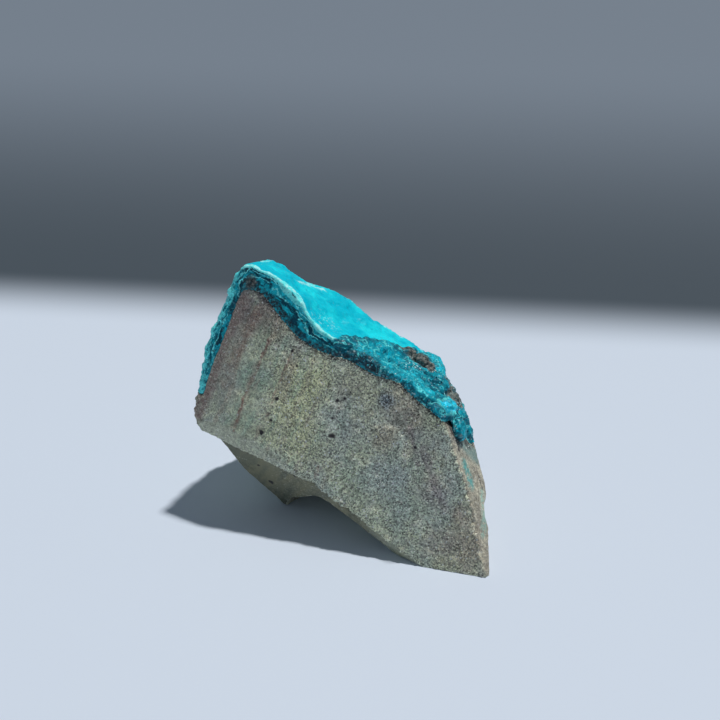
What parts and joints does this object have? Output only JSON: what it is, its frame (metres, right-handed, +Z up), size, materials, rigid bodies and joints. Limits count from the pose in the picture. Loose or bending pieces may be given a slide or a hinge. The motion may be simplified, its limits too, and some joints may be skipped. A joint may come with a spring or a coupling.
{
  "type": "raw chrysocolla specimen",
  "caption": "Broken chunk of grey-olive host rock with a blue-green chrysocolla crust over its top and left, resting on its underside.",
  "frame": {"origin": "on the ground, under the middle of the specimen's bounding box", "axes": "+Z up; +X left to right along the big front fracture; +Y from the front fracture towards the back"},
  "size_m": [0.056, 0.0488, 0.0489],
  "materials": {
    "host_rock": "fine-grained, dull, with small sparkling grains",
    "chrysocolla_crust": "banded blue-green mineral, waxy to satin"
  },
  "bodies": {
    "root": {"host_rock": "host_rock", "chrysocolla_crust": "chrysocolla_crust"}
  },
  "joints": []
}
